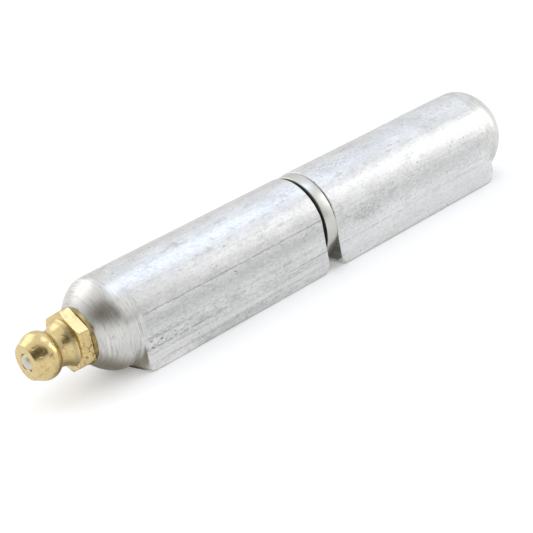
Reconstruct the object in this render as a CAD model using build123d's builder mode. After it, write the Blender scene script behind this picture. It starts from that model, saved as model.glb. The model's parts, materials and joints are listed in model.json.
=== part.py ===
from build123d import *
from math import cos, radians, sin, sqrt, tan
import os

# Weld-on barrel hinge: two teardrop barrels on one pin, one of them with a grease fitting.
# Millimetres. +X runs along the pin from the grease fitting towards the half that holds the pin,
# and +Z points up from the plane of the two weld faces.

# Extruded profile, the same for both halves
barrel_diameter = 13.6
axis_height = 7.2  # weld face to pin axis
flank_rise = 0.9  # the flat flank meets the round this far above the axis
flank_lean = 4.5  # degrees that each flank leans inwards towards the weld face
weld_corner_radius = 0.6

# Lengths along the axis
lug_length = 33.3
joint_gap = 0.6  # open gap between the free half and the washer
edge_break = 0.12  # chamfer round the sawn inner ends

# Turned outer ends
skim_depth = 0.05  # the turning takes this much off the barrel's radius
lug_fillet_radius = 0.5  # the tool's nose leaves this between the turning and the lug's end
pin_band_length = 0.4  # plain cylinder between that fillet and the dome, on the pin half
free_band_length = 0.9  # and on the free half
shoulder_radius = 3.0
shoulder_angle = 27.4  # degrees that the shoulder turns before the spherical crown takes over

# Pin, bush and washer
pin_diameter = 7.0
pin_press_depth = 26.0  # length held in the pin half
pin_engaged_length = 26.0  # length that stands in the free half
pin_end_chamfer = 0.8
pin_hole_spare = 1.0  # hole left behind the pin
bush_wall = 0.95
bush_length = 28.0
bush_recess = 0.3
bush_clearance = 0.05  # on the radius, pin to bush
washer_inset = 0.1  # the rim stands this far inside the barrel's round
washer_thickness = 1.9
washer_clearance = 0.1  # on the radius, pin to washer
washer_edge_break = 0.15

# Grease fitting
thread_diameter = 6.0
thread_length = 5.5
thread_end_chamfer = 0.5
tapped_depth = 7.0
grease_bore_diameter = 5.0
collar_diameter = 8.2  # and of the flat it seats on, cut off the crown
collar_thickness = 0.6
hex_across_flats = 7.94
hex_thickness = 1.8
hex_front_diameter = 8.2  # where the chamfer meets the front of the hexagon
hex_chamfer_angle = 30.0
hex_turn = 36.0  # where the fitting stopped when it was screwed in
flare_diameter = 6.8
neck_diameter = 5.3
head_diameter = 6.8
head_round_radius = 2.2
head_cone_angle = 28.0
head_distance = 6.3  # seat to the widest point of the head
fitting_stand_out = 8.9  # seat to tip

# Check valve inside the fitting
ball_diameter = 3.0
ball_opening_diameter = 2.4
ball_seat_clearance = 0.03
ball_bore_clearance = 0.2  # on the radius
spring_wire_diameter = 0.35  # across corners, the wire being drawn with six flats
spring_outer_diameter = 2.6
spring_turns = 6
spring_end_clearance = 0.05
staked_end_diameter = 1.6
staked_end_thickness = 0.6

barrel_radius = barrel_diameter / 2
turned_radius = barrel_radius - skim_depth
pin_radius = pin_diameter / 2

# Dome of a turned end: a shoulder arc, then a crown whose centre lies on the axis
crown_radius = shoulder_radius + (turned_radius - shoulder_radius) / cos(radians(shoulder_angle))
crown_setback = (crown_radius - shoulder_radius) * sin(radians(shoulder_angle))
dome_depth = crown_radius - crown_setback
seat_setback = crown_radius - sqrt(crown_radius**2 - (collar_diameter / 2) ** 2)

# Places along the axis, from the fitting's tip to the pin half's nose, centred on x = 0
turning_start = lug_length + lug_fillet_radius
pin_half_length = turning_start + pin_band_length + dome_depth
free_half_length = turning_start + free_band_length + dome_depth - seat_setback
joint_length = joint_gap + washer_thickness
overall_length = fitting_stand_out + free_half_length + joint_length + pin_half_length
tip_x = -overall_length / 2
seat_x = tip_x + fitting_stand_out
free_end_x = seat_x + free_half_length
washer_x = free_end_x + joint_gap
pin_half_x = washer_x + washer_thickness

# The plane that holds the pin axis: local x runs along the pin, local y is the radius
lengthwise = Plane(origin=(0, 0, axis_height), x_dir=(1, 0, 0), z_dir=(0, -1, 0))
pin_axis = Axis(lengthwise.origin, lengthwise.x_dir)

os.makedirs("parts", exist_ok=True)


def across(x):
    """The plane across the pin axis at x, facing +X."""
    return Plane(origin=(x, 0, axis_height), x_dir=(0, 1, 0), z_dir=(1, 0, 0))


def barrel_half(inner_x, outward, band_length):
    """One half's blank: the extrusion from inner_x outward (+1 or -1), its end turned to a dome."""
    lug_end_x = inner_x + outward * lug_length
    fillet_end_x = inner_x + outward * turning_start
    shoulder_x = fillet_end_x + outward * band_length
    nose_x = shoulder_x + outward * dome_depth
    flank_top_y = sqrt(barrel_radius**2 - flank_rise**2)
    weld_edge_y = flank_top_y - (axis_height + flank_rise) * tan(radians(flank_lean))
    clear = axis_height + barrel_diameter  # beyond the profile's corners
    with BuildPart() as half:
        with BuildSketch(across(min(inner_x, nose_x))) as profile:
            with BuildLine():
                ThreePointArc((-flank_top_y, flank_rise), (0, barrel_radius), (flank_top_y, flank_rise))
                Polyline(
                    (flank_top_y, flank_rise),
                    (weld_edge_y, -axis_height),
                    (-weld_edge_y, -axis_height),
                    (-flank_top_y, flank_rise),
                )
            make_face()
            fillet(profile.vertices().group_by(Axis.Y)[0], weld_corner_radius)
        extrude(amount=abs(nose_x - inner_x))
        sawn_face = half.faces().sort_by(Axis.X)[0 if outward > 0 else -1]
        chamfer(sawn_face.edges(), edge_break)
        with BuildSketch(lengthwise):
            with BuildLine():
                Line((lug_end_x, clear), (lug_end_x, turned_radius + lug_fillet_radius))
                TangentArc(
                    (lug_end_x, turned_radius + lug_fillet_radius),
                    (fillet_end_x, turned_radius),
                    tangent=(0, -1),
                )
                Line((fillet_end_x, turned_radius), (shoulder_x, turned_radius))
                shoulder = JernArc(
                    (shoulder_x, turned_radius),
                    (outward, 0),
                    shoulder_radius,
                    -outward * shoulder_angle,
                )
                TangentArc(shoulder @ 1, (nose_x, 0), tangent=shoulder % 1)
                Polyline(
                    (nose_x, 0),
                    (nose_x + outward * clear, 0),
                    (nose_x + outward * clear, clear),
                    (lug_end_x, clear),
                )
            make_face()
        revolve(axis=pin_axis, mode=Mode.SUBTRACT)
    return half.part


# Half that carries the pin in a blind hole
with BuildPart() as pin_half:
    add(barrel_half(pin_half_x, 1, pin_band_length))
    with BuildSketch(across(pin_half_x)):
        Circle(pin_radius)
    extrude(amount=pin_press_depth + pin_hole_spare, mode=Mode.SUBTRACT)
pin_half.part.label = "pin_half"
export_step(pin_half.part, "parts/pin_half.step")

# Half that lifts off: its crown spot-faced for the fitting, a bushed bore from the joint, and a
# grease passage tapped for the fitting
bush_outer_radius = pin_radius + bush_clearance + bush_wall
bush_end_x = free_end_x - bush_recess - bush_length
with BuildPart() as free_half:
    add(barrel_half(free_end_x, -1, free_band_length))
    with BuildSketch(across(seat_x)):
        Circle(barrel_radius)
    extrude(amount=-seat_setback, mode=Mode.SUBTRACT)
    with BuildSketch(across(free_end_x)):
        Circle(bush_outer_radius)
    extrude(amount=bush_end_x - free_end_x, mode=Mode.SUBTRACT)
    with BuildSketch(across(seat_x)):
        Circle(grease_bore_diameter / 2)
    extrude(amount=bush_end_x - seat_x, mode=Mode.SUBTRACT)
    with BuildSketch(across(seat_x)):
        Circle(thread_diameter / 2)
    extrude(amount=tapped_depth, mode=Mode.SUBTRACT)
free_half.part.label = "free_half"
export_step(free_half.part, "parts/free_half.step")

# Steel pin, pressed into its half and chamfered at both ends
with BuildPart() as hinge_pin:
    with BuildSketch(across(free_end_x - pin_engaged_length)):
        Circle(pin_radius)
    extrude(amount=pin_engaged_length + joint_gap + washer_thickness + pin_press_depth)
    chamfer(hinge_pin.edges().filter_by(GeomType.CIRCLE), pin_end_chamfer)
hinge_pin.part.label = "hinge_pin"
export_step(hinge_pin.part, "parts/hinge_pin.step")

# Brass bush, pressed into the free half
with BuildPart() as bush:
    with BuildSketch(across(bush_end_x)):
        Circle(bush_outer_radius)
        Circle(pin_radius + bush_clearance, mode=Mode.SUBTRACT)
    extrude(amount=bush_length)
bush.part.label = "bush"
export_step(bush.part, "parts/bush.step")

# Thrust washer, loose on the pin between the halves
with BuildPart() as thrust_washer:
    with BuildSketch(across(washer_x)):
        Circle(barrel_radius - washer_inset)
        Circle(pin_radius + washer_clearance, mode=Mode.SUBTRACT)
    extrude(amount=washer_thickness)
    rim_edges = thrust_washer.edges().filter_by(GeomType.CIRCLE).group_by(SortBy.RADIUS)[-1]
    chamfer(rim_edges, washer_edge_break)
thrust_washer.part.label = "thrust_washer"
export_step(thrust_washer.part, "parts/thrust_washer.step")

# Check valve: the ball closes the opening in the tip, and its nose stands flush with the tip
ball_radius = ball_diameter / 2
opening_radius = ball_opening_diameter / 2
valve_bore_radius = ball_radius + ball_bore_clearance
ball_x = tip_x + ball_radius
seat_edge_x = ball_x - sqrt(ball_radius**2 - opening_radius**2) - ball_seat_clearance
valve_bore_x = seat_edge_x + valve_bore_radius - opening_radius  # past the 45 degree ball seat
shank_end_x = seat_x + thread_length
staked_x = shank_end_x - staked_end_thickness

# Grease fitting, turned from hexagon bar
collar_x = seat_x - collar_thickness
hex_front_x = collar_x - hex_thickness
hex_radius = hex_across_flats / 2 / cos(radians(30))
hex_chamfer_depth = (hex_radius - hex_front_diameter / 2) * tan(radians(hex_chamfer_angle))
head_x = seat_x - head_distance
head_round_y = head_diameter / 2 - head_round_radius
cone_start_x = head_x - head_round_radius * sin(radians(head_cone_angle))
cone_start_y = head_round_y + head_round_radius * cos(radians(head_cone_angle))
tip_y = cone_start_y - (cone_start_x - tip_x) * tan(radians(head_cone_angle))
neck_radius = neck_diameter / 2
neck_x = head_x + sqrt(head_round_radius**2 - (neck_radius - head_round_y) ** 2)

with BuildPart() as fitting_body:
    with BuildSketch(across(hex_front_x)):
        RegularPolygon(hex_radius, 6, rotation=hex_turn)
    extrude(amount=hex_thickness)
    with BuildSketch(lengthwise):
        with BuildLine():
            Polyline(
                (hex_front_x, hex_front_diameter / 2),
                (hex_front_x + hex_chamfer_depth, hex_radius),
                (hex_front_x, hex_radius),
                close=True,
            )
        make_face()
    revolve(axis=pin_axis, mode=Mode.SUBTRACT)
    with BuildSketch(lengthwise):
        with BuildLine():
            Polyline((tip_x, 0), (tip_x, tip_y), (cone_start_x, cone_start_y))
            ThreePointArc(
                (cone_start_x, cone_start_y), (head_x, head_diameter / 2), (neck_x, neck_radius)
            )
            TangentArc((neck_x, neck_radius), (hex_front_x, flare_diameter / 2), tangent=(1, 0))
            Polyline(
                (hex_front_x, flare_diameter / 2),
                (collar_x, flare_diameter / 2),
                (collar_x, collar_diameter / 2),
                (seat_x, collar_diameter / 2),
                (seat_x, thread_diameter / 2),
                (shank_end_x - thread_end_chamfer, thread_diameter / 2),
                (shank_end_x, thread_diameter / 2 - thread_end_chamfer),
                (shank_end_x, 0),
                (tip_x, 0),
            )
        make_face()
    revolve(axis=pin_axis)
    with BuildSketch(lengthwise):
        with BuildLine():
            Polyline(
                (tip_x, 0),
                (tip_x, opening_radius),
                (seat_edge_x, opening_radius),
                (valve_bore_x, valve_bore_radius),
                (staked_x, valve_bore_radius),
                (staked_x, staked_end_diameter / 2),
                (shank_end_x, staked_end_diameter / 2),
                (shank_end_x, 0),
                close=True,
            )
        make_face()
    revolve(axis=pin_axis, mode=Mode.SUBTRACT)
fitting_body.part.label = "fitting_body"
export_step(fitting_body.part, "parts/fitting_body.step")

# Steel ball
with BuildPart() as check_ball:
    with BuildSketch(lengthwise):
        with BuildLine():
            CenterArc((ball_x, 0), ball_radius, 0, 180)
            Line((ball_x - ball_radius, 0), (ball_x + ball_radius, 0))
        make_face()
    revolve(axis=pin_axis)
check_ball.part.label = "check_ball"
export_step(check_ball.part, "parts/check_ball.step")

# Spring from the ball to the staked end of the shank
wire_radius = spring_wire_diameter / 2
coil_radius = spring_outer_diameter / 2 - wire_radius
spring_start_x = ball_x + sqrt((ball_radius + wire_radius) ** 2 - coil_radius**2) + spring_end_clearance
spring_length = staked_x - wire_radius - spring_end_clearance - spring_start_x
with BuildPart() as check_spring:
    with BuildLine() as coil:
        Helix(
            pitch=spring_length / spring_turns,
            height=spring_length,
            radius=coil_radius,
            center=(spring_start_x, 0, axis_height),
            direction=(1, 0, 0),
        )
    with BuildSketch(Plane(origin=coil.line @ 0, z_dir=coil.line % 0)):
        RegularPolygon(wire_radius, 6)
    sweep()
check_spring.part.label = "check_spring"
export_step(check_spring.part, "parts/check_spring.step")
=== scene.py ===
# %% [markdown]
# # A weld-on barrel hinge
#
# Two short teardrop lengths of aluminium extrusion turn on one hidden steel pin. The outer end of
# each is turned to a dome, a bright steel washer sits in the joint, and a brass grease fitting is
# screwed into one dome. The engineering model is loaded first and is never moved. The cells below
# dress it: the camera and the light, then each finish, then each piece.

import json
import math
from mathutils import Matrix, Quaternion, Vector, noise

import bmesh
import bpy


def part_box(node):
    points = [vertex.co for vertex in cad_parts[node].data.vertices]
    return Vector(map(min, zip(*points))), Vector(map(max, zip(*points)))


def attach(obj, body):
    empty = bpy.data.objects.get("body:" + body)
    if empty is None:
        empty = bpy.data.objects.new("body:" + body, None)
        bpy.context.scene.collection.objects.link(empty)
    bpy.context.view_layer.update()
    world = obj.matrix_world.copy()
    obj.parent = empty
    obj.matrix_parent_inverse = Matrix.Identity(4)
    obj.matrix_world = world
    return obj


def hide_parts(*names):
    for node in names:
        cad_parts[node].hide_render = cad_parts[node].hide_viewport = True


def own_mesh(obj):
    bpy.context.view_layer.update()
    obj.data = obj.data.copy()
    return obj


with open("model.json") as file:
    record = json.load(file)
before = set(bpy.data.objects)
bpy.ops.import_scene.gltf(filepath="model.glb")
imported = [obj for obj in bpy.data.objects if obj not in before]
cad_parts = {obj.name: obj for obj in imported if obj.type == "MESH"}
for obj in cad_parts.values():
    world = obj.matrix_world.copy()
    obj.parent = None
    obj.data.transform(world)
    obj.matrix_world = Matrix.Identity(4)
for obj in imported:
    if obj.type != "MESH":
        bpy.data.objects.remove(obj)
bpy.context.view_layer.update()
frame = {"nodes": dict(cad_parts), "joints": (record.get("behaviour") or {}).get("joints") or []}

# %% [markdown]
# ## Shared places and helpers
#
# Blender works in metres and this hinge is thought of in millimetres, so each size below is written
# in millimetres times `MM`. Places that several pieces share come from the frame: the pin axis from
# the joint, and the ends of each piece from its box.

# %% Shared places
MM = 0.001
joints = {joint["name"]: joint for joint in frame["joints"]}
pin_half_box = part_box("pin_half")
free_half_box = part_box("free_half")
washer_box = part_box("thrust_washer")
fitting_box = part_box("fitting_body")
axis_z = joints["swing"]["pos_m"][2]
free_end_x = free_half_box[1].x
pin_half_x = pin_half_box[0].x
barrel_radius = pin_half_box[1].z - axis_z
print("pin axis", round(axis_z / MM, 2), "mm up, barrel radius", round(barrel_radius / MM, 2), "mm")

# %% Helpers


def linear(hex_colour):
    """An sRGB hex colour as the linear colour that Blender's sockets take."""
    parts = [int(hex_colour[i : i + 2], 16) / 255 for i in (1, 3, 5)]
    return [p / 12.92 if p <= 0.04045 else ((p + 0.055) / 1.055) ** 2.4 for p in parts] + [1.0]


def add_node(tree, kind, values=None, **settings):
    """Adds one node to a tree. settings are its properties, and values fills its inputs by name or
    number: with a socket of another node, which makes a link, or with a plain value."""
    made = tree.nodes.new(kind)
    for name, value in settings.items():
        setattr(made, name, value)
    for key, value in (values or {}).items():
        if isinstance(value, bpy.types.NodeSocket):
            tree.links.new(value, made.inputs[key])
        else:
            made.inputs[key].default_value = value
    return made


def strongest(tree, first, *others):
    """The largest of several shares."""
    for other in others:
        larger = add_node(tree, "ShaderNodeMath", {0: first, 1: other}, operation="MAXIMUM")
        first = larger.outputs[0]
    return first


def weighed(tree, *parts):
    """The sum of several values. One that comes with a weight is multiplied by it first."""
    total = 0.0
    for part in parts:
        value, weight = part if isinstance(part, tuple) else (part, 1.0)
        added = add_node(
            tree, "ShaderNodeMath", {0: value, 1: weight, 2: total}, operation="MULTIPLY_ADD"
        )
        total = added.outputs[0]
    return total


def new_material(name):
    """A material with an empty node tree."""
    material = bpy.data.materials.new(name)
    material.use_nodes = True
    material.node_tree.nodes.clear()
    return material, material.node_tree


def put_in_scene(name, data):
    """A new object in the scene, made of this mesh, lamp or camera."""
    made = bpy.data.objects.new(name, data)
    bpy.context.scene.collection.objects.link(made)
    return made


def flat_sheet(name, width, depth, material):
    """A rectangle in the plane of the floor, with its middle at the origin."""
    x = width / 2
    y = depth / 2
    mesh = bpy.data.meshes.new(name)
    mesh.from_pydata([(-x, -y, 0), (x, -y, 0), (x, y, 0), (-x, y, 0)], [], [(0, 1, 2, 3)])
    mesh.materials.append(material)
    return mesh


# %% [markdown]
# ## Camera
#
# A long lens about a quarter of a metre away, rolled so that the hinge climbs across the frame. It is
# placed by what it looks at: a point just below the pin near the joint, seen from an azimuth and an
# elevation. The roll comes last, about the line of sight.

# %% Camera
LENS = 105.364  # mm, on a sensor 36 mm wide
AIM_FROM_JOINT = Vector((-6.524, 0.0, -4.202)) * MM
CAMERA_DISTANCE = 224.03 * MM
CAMERA_AZIMUTH = math.radians(35.984)
CAMERA_ELEVATION = math.radians(20.272)
CAMERA_ROLL = math.radians(14.398)

forward = Vector(
    (
        math.sin(CAMERA_AZIMUTH) * math.cos(CAMERA_ELEVATION),
        math.cos(CAMERA_AZIMUTH) * math.cos(CAMERA_ELEVATION),
        -math.sin(CAMERA_ELEVATION),
    )
)
aim = Vector((free_end_x, 0.0, axis_z)) + AIM_FROM_JOINT
camera_data = bpy.data.cameras.new("camera")
camera_data.lens = LENS
camera_data.sensor_width = 36.0
camera_data.clip_start = 0.01
camera = put_in_scene("camera", camera_data)
camera.rotation_mode = "QUATERNION"
camera.location = aim - forward * CAMERA_DISTANCE
camera.rotation_quaternion = Quaternion(forward, CAMERA_ROLL) @ forward.to_track_quat("-Z", "Y")
bpy.context.scene.camera = camera
bpy.context.scene.view_settings.view_transform = "Standard"
print("camera at", [round(c / MM, 1) for c in camera.location], "mm")

# %% [markdown]
# ## Floor and backdrop
#
# The hinge lies on its two weld faces on a white sheet. The sheet is plain matt white, with just
# enough glow for the camera and for reflections that it reads as pure white, while the hinge's own
# soft shadow still shows. A little more glow reaches the camera alone, so that the far floor is white
# from low down too. The world above it is white to the eye, in the metal and as light.

# %% Floor and world
FLOOR_SIZE = 3.0
FLOOR_GLOW = 0.16  # as the camera sees it, also in the metal
EXTRA_GLOW = 0.08  # straight to the camera only
SKY_LIGHT = 1.0

floor_material, tree = new_material("white_paper_sheet")
ray = add_node(tree, "ShaderNodeLightPath").outputs
seen = strongest(tree, ray["Is Camera Ray"], ray["Is Glossy Ray"], ray["Is Transmission Ray"])
glow_level = weighed(tree, (seen, FLOOR_GLOW), (ray["Is Camera Ray"], EXTRA_GLOW))
glow = add_node(tree, "ShaderNodeEmission", {"Strength": glow_level})
paper = add_node(tree, "ShaderNodeBsdfDiffuse", {"Color": linear("#E6E6E6")})
both = add_node(tree, "ShaderNodeAddShader", {0: glow.outputs[0], 1: paper.outputs[0]})
add_node(tree, "ShaderNodeOutputMaterial", {"Surface": both.outputs[0]})

floor = put_in_scene("floor", flat_sheet("floor", FLOOR_SIZE, FLOOR_SIZE, floor_material))

world = bpy.data.worlds.new("white_studio")
world.use_nodes = True
bpy.context.scene.world = world
tree = world.node_tree
tree.nodes.clear()
sky = add_node(tree, "ShaderNodeBackground", {"Color": (1, 1, 1, 1), "Strength": SKY_LIGHT})
add_node(tree, "ShaderNodeOutputWorld", {"Surface": sky.outputs[0]})
print("floor", FLOOR_SIZE, "m wide, sky light", SKY_LIGHT)

# %% [markdown]
# ## Lamps and grey cards
#
# Bare metal shows what stands round it, so the set matters as much as the lamps. High up beyond the
# hinge, a small cool box and a large faint blue one draw the highlight along the tops of the barrels.
# At the side, one box lights their shoulders and a low one lifts the flank of the farther half. A
# wide box behind lights the dome.
#
# Four cards are seen only in the metal. A dark one beside the camera gives the smoky patch on the
# dome and the dark shapes in the brass. A low one darkens the top edge of the flanks, a pale one at
# the back tones down the tops of the barrels, and a very small grey one lies on the floor under the
# dome as painted shade, which the dome reflects as the floor's shadow.
# Each lamp and card is placed by the direction in which it stands from the hinge.

# %% Lamps


def facing_hinge(name, data, azimuth, elevation, distance):
    """An object that faces the hinge from a direction given in degrees."""
    a = math.radians(azimuth)
    e = math.radians(elevation)
    towards = Vector((math.sin(a) * math.cos(e), -math.cos(a) * math.cos(e), math.sin(e)))
    placed = put_in_scene(name, data)
    placed.location = Vector((0.0, 0.0, axis_z)) + towards * distance
    placed.rotation_euler = (-towards).to_track_quat("-Z", "Y").to_euler()
    return placed


def soft_box(name, azimuth, elevation, distance, size, radiance, colour):
    """A rectangular lamp. radiance 1 is as bright as the white background."""
    lamp = bpy.data.lights.new(name, "AREA")
    lamp.shape = "RECTANGLE"
    lamp.size, lamp.size_y = size
    lamp.energy = radiance * math.pi * size[0] * size[1]
    lamp.color = linear(colour)[:3]
    return facing_hinge(name, lamp, azimuth, elevation, distance)


soft_box("cool_box", 71, 67, 0.22, (0.10, 0.10), 1.50, "#C9DCFF")
soft_box("cool_fill", 122, 46, 0.50, (0.36, 0.26), 0.20, "#A0C8FF")
soft_box("side_box", 57, 26, 0.60, (0.24, 0.20), 2.05, "#F2F7FF")
soft_box("low_box", 63, 7, 0.55, (0.26, 0.13), 2.0, "#FFFDF8")
soft_box("back_box", -163, 44, 0.50, (0.43, 0.34), 0.88, "#FFFFFF")

# %% Grey cards
CARD_CORE = 0.35  # this share of a card keeps its full colour


def grey_card(name, azimuth, elevation, distance, size, colour):
    """A card that only reflections show: its colour in the middle, fading to the backdrop's white."""
    material, tree = new_material(name)
    place = add_node(tree, "ShaderNodeTexCoord").outputs["Object"]
    spread = add_node(
        tree, "ShaderNodeMapping", {"Vector": place, "Scale": (2 / size[0], 2 / size[1], 1)}
    )
    from_middle = add_node(
        tree, "ShaderNodeVectorMath", {0: spread.outputs[0]}, operation="LENGTH"
    )
    share = add_node(
        tree,
        "ShaderNodeMapRange",
        {"Value": from_middle.outputs["Value"], "From Min": CARD_CORE},
        interpolation_type="SMOOTHSTEP",
    )
    shown = add_node(
        tree,
        "ShaderNodeMix",
        {0: share.outputs[0], 6: linear(colour), 7: (1, 1, 1, 1)},
        data_type="RGBA",
    )
    shade = add_node(tree, "ShaderNodeEmission", {"Color": shown.outputs[2]})
    add_node(tree, "ShaderNodeOutputMaterial", {"Surface": shade.outputs[0]})
    card = facing_hinge(name, flat_sheet(name, *size, material), azimuth, elevation, distance)
    card.visible_camera = False
    card.visible_diffuse = False
    card.visible_shadow = False
    return card


grey_card("camera_side_card", -47, 33, 0.45, (1.56, 0.60), "#5D5748")
grey_card("low_card", 16, 0, 0.50, (0.58, 0.24), "#323130")
grey_card("far_card", 145, 20, 0.50, (0.62, 0.36), "#ECECEB")
# Painted shade: a small grey card on the floor under the dome, which only the dome's reflection shows.
UNDER_DOME = Vector((-33.5, 0.0, 0.2)) * MM  # just above the floor
under_dome_shade_card = grey_card("under_dome_painted_shade_card", 0, -90, 0.01, (0.022, 0.016), "#8D887A")
under_dome_shade_card.location = UNDER_DOME
under_dome_shade_card.rotation_euler = (0.0, 0.0, 0.0)

# %% [markdown]
# ## Helpers for the finishes
#
# Every finish is one principled shader fed by noise on object coordinates in millimetres, so that a
# pattern keeps its real size and stays put when the hinge turns. Lines come from squeezing the noise
# along one axis, and clouds from leaving it round. The colour is painted in layers. Each layer is a
# colour and the limits that say where it lies, and a limit turns a stretch of a pattern, or of a
# height, into a share from 0 to 1.

# %% Helpers for finishes


def new_finish(name):
    """A material, its tree, and object coordinates in millimetres. It has no shader yet."""
    material, tree = new_material(name)
    place = add_node(tree, "ShaderNodeTexCoord")
    in_mm = add_node(
        tree,
        "ShaderNodeMapping",
        {"Vector": place.outputs["Object"], "Scale": (1 / MM, 1 / MM, 1 / MM)},
    )
    return material, tree, in_mm.outputs[0]


def waves(tree, place, scale, detail=3.0, shift=(0, 0, 0)):
    """Noise from 0 to 1 with its own number of waves per millimetre along each axis."""
    mapped = add_node(
        tree, "ShaderNodeMapping", {"Vector": place, "Scale": scale, "Location": shift}
    )
    made = add_node(
        tree,
        "ShaderNodeTexNoise",
        {"Vector": mapped.outputs[0], "Scale": 1.0, "Detail": detail, "Roughness": 0.6},
    )
    return made.outputs[0]


def where(tree, *limits):
    """The product of several limits. A limit is a share, or a value with the two levels of it that
    give 0 and 1, or with two more numbers that they give instead."""
    share = None
    for limit in limits:
        if isinstance(limit, tuple):
            labels = ("Value", "From Min", "From Max", "To Min", "To Max")
            limit = add_node(tree, "ShaderNodeMapRange", dict(zip(labels, limit))).outputs[0]
        if share is not None:
            both = add_node(tree, "ShaderNodeMath", {0: share, 1: limit}, operation="MULTIPLY")
            limit = both.outputs[0]
        share = limit
    return share


def miss(tree, value, centre):
    """How far a value is from a centre, either way."""
    off = add_node(tree, "ShaderNodeMath", {0: value, 1: centre}, operation="SUBTRACT")
    return add_node(tree, "ShaderNodeMath", {0: off.outputs[0]}, operation="ABSOLUTE").outputs[0]


def paint(tree, base, *layers):
    """Lays colours over a base, each a hex colour or a socket followed by its limits."""
    for colour, *limits in layers:
        under, over = [linear(c) if isinstance(c, str) else c for c in (base, colour)]
        mixed = add_node(
            tree, "ShaderNodeMix", {0: where(tree, *limits), 6: under, 7: over}, data_type="RGBA"
        )
        base = mixed.outputs[2]
    return base


def dress(tree, colour, roughness, height, depth_mm):
    """Ends a finish: bare metal of this colour and roughness, raised by height times a depth."""
    bump = add_node(
        tree, "ShaderNodeBump", {"Height": height, "Strength": 1.0, "Distance": depth_mm * MM}
    )
    metal = add_node(
        tree,
        "ShaderNodeBsdfPrincipled",
        {"Base Color": colour, "Metallic": 1.0, "Roughness": roughness, "Normal": bump.outputs[0]},
    )
    add_node(tree, "ShaderNodeOutputMaterial", {"Surface": metal.outputs[0]})


# %% [markdown]
# ## Barrel finish: extruded, then turned
#
# The barrels are cut from extruded aluminium bar and left as they came from the die and the bins: a
# satin grey with fine lengthwise die lines, broken dashes, cloudy handling marks, drag scratches low
# on the flanks and small pits. The outer end was then turned, which leaves fine lines round the axis.
# The mesh carries an attribute, `turned`, that says how much of the lathe's finish each place has,
# so one material can fade from one finish to the other with a ragged edge.

# %% Extruded finish
barrel_finish, tree, place = new_finish("aluminium_extruded_and_turned")
along_x, across_y, up_z = add_node(tree, "ShaderNodeSeparateXYZ", {0: place}).outputs
side_y = miss(tree, across_y, 0.0)
on_flank = where(tree, (side_y, 5.0, 5.5))

die_lines = waves(tree, place, (0.05, 2.6, 2.6), detail=3)
dashes = waves(tree, place, (1.7, 3.2, 3.2), detail=4, shift=(5, 1, 2))
clouds = waves(tree, place, (0.22, 0.40, 0.40), detail=6, shift=(3, 0, 0))
grit = waves(tree, place, (3.8, 4.4, 4.4), detail=3, shift=(0, 7, 0))
smears = waves(tree, place, (0.45, 1.0, 1.0), detail=6, shift=(11, 2, 5))
# The round has been handled more than the flanks, so the dashes are fainter on it.
wear = where(tree, (up_z, 9.5, 8.0, 0.72, 1.12))
extruded = paint(
    tree,
    "#D4D4D3",
    ("#E2E2E1", (clouds, 0.38, 0.64)),
    ("#BDBDBC", (die_lines, 0.42, 0.70, 0.0, 0.22)),
    ("#A6A6A3", wear, (dashes, 0.52, 0.70, 0.0, 0.40)),
    ("#F4F4F3", wear, (dashes, 0.46, 0.30, 0.0, 0.44)),
    ("#A2A29E", (smears, 0.56, 0.70, 0.0, 0.45)),
    ("#98988F", wear, (grit, 0.56, 0.72, 0.0, 0.42)),
)
print("extruded finish begun, nodes so far", len(tree.nodes))

# %% [markdown]
# ### Marks on the extruded finish
#
# Most marks tell what has happened to the bar, but not all: the band below the seam is painted
# shade, the foot of the flanks is painted light, and the edge at the weld face is painted darker.
# Each one is a share from 0 to 1, made of the limits that say where it lies, and where two meet the
# stronger one shows. Pits come from Voronoi cells, whose distance grows evenly from each point, so a
# low limit on it draws a small round spot.

# %% Pits
stretched = add_node(
    tree, "ShaderNodeVectorMath", {0: place, 1: (0.6, 1.0, 1.2)}, operation="MULTIPLY"
).outputs[0]
pit_cells = add_node(tree, "ShaderNodeTexVoronoi", {"Vector": stretched, "Scale": 1.2})
pit_groups = waves(tree, place, (0.12, 0.3, 0.3), detail=1, shift=(2.5, 0, 4))
pits = where(
    tree, (pit_cells.outputs["Distance"], 0.15, 0.05, 0.0, 0.85), (pit_groups, 0.55, 0.62)
)
# The weld lug of the lift-off half was dropped on its end: a cluster of pits lies along its flank.
bruise_cells = add_node(tree, "ShaderNodeTexVoronoi", {"Vector": stretched, "Scale": 2.0})
bruise = where(
    tree,
    (bruise_cells.outputs["Distance"], 0.40, 0.16),
    (miss(tree, up_z, 4.0), 1.2, 0.3),
    (along_x, -21.0, -27.0),
    on_flank,
    (smears, 0.32, 0.45),
)
holes = strongest(tree, pits, bruise)
print("pits drawn, nodes so far", len(tree.nodes))

# %% Drag scratches
# They lie low on the flanks, more on the lift-off half, with fewer in a paler band about 2.1 mm up.
drag_lines = waves(tree, place, (0.04, 2.1, 2.1), detail=2, shift=(9, 4, 0))
drag_breaks = waves(tree, place, (1.1, 2.4, 2.4), detail=2, shift=(1, 8, 3))
off_pale_band = miss(tree, up_z, 2.1)
lift_off_side = where(tree, (along_x, 4.0, -2.0))
drag = where(
    tree,
    (drag_lines, 0.50, 0.62),
    (drag_breaks, 0.36, 0.60, 0.15, 1.0),
    (up_z, 6.0, 4.0, 0.10, 0.62),
    (up_z, 0.8, 2.8, 0.40, 1.0),
    (off_pale_band, 0.2, 0.8, 0.35, 1.0),
    (lift_off_side, 0.0, 1.0, 0.45, 1.0),
)
# The edge of each flank at the weld face is painted darker.
weld_edge = where(tree, (up_z, 0.16, 0.03, 0.0, 0.6), (side_y, 5.4, 5.8))
print("drag scratches drawn, nodes so far", len(tree.nodes))
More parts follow.
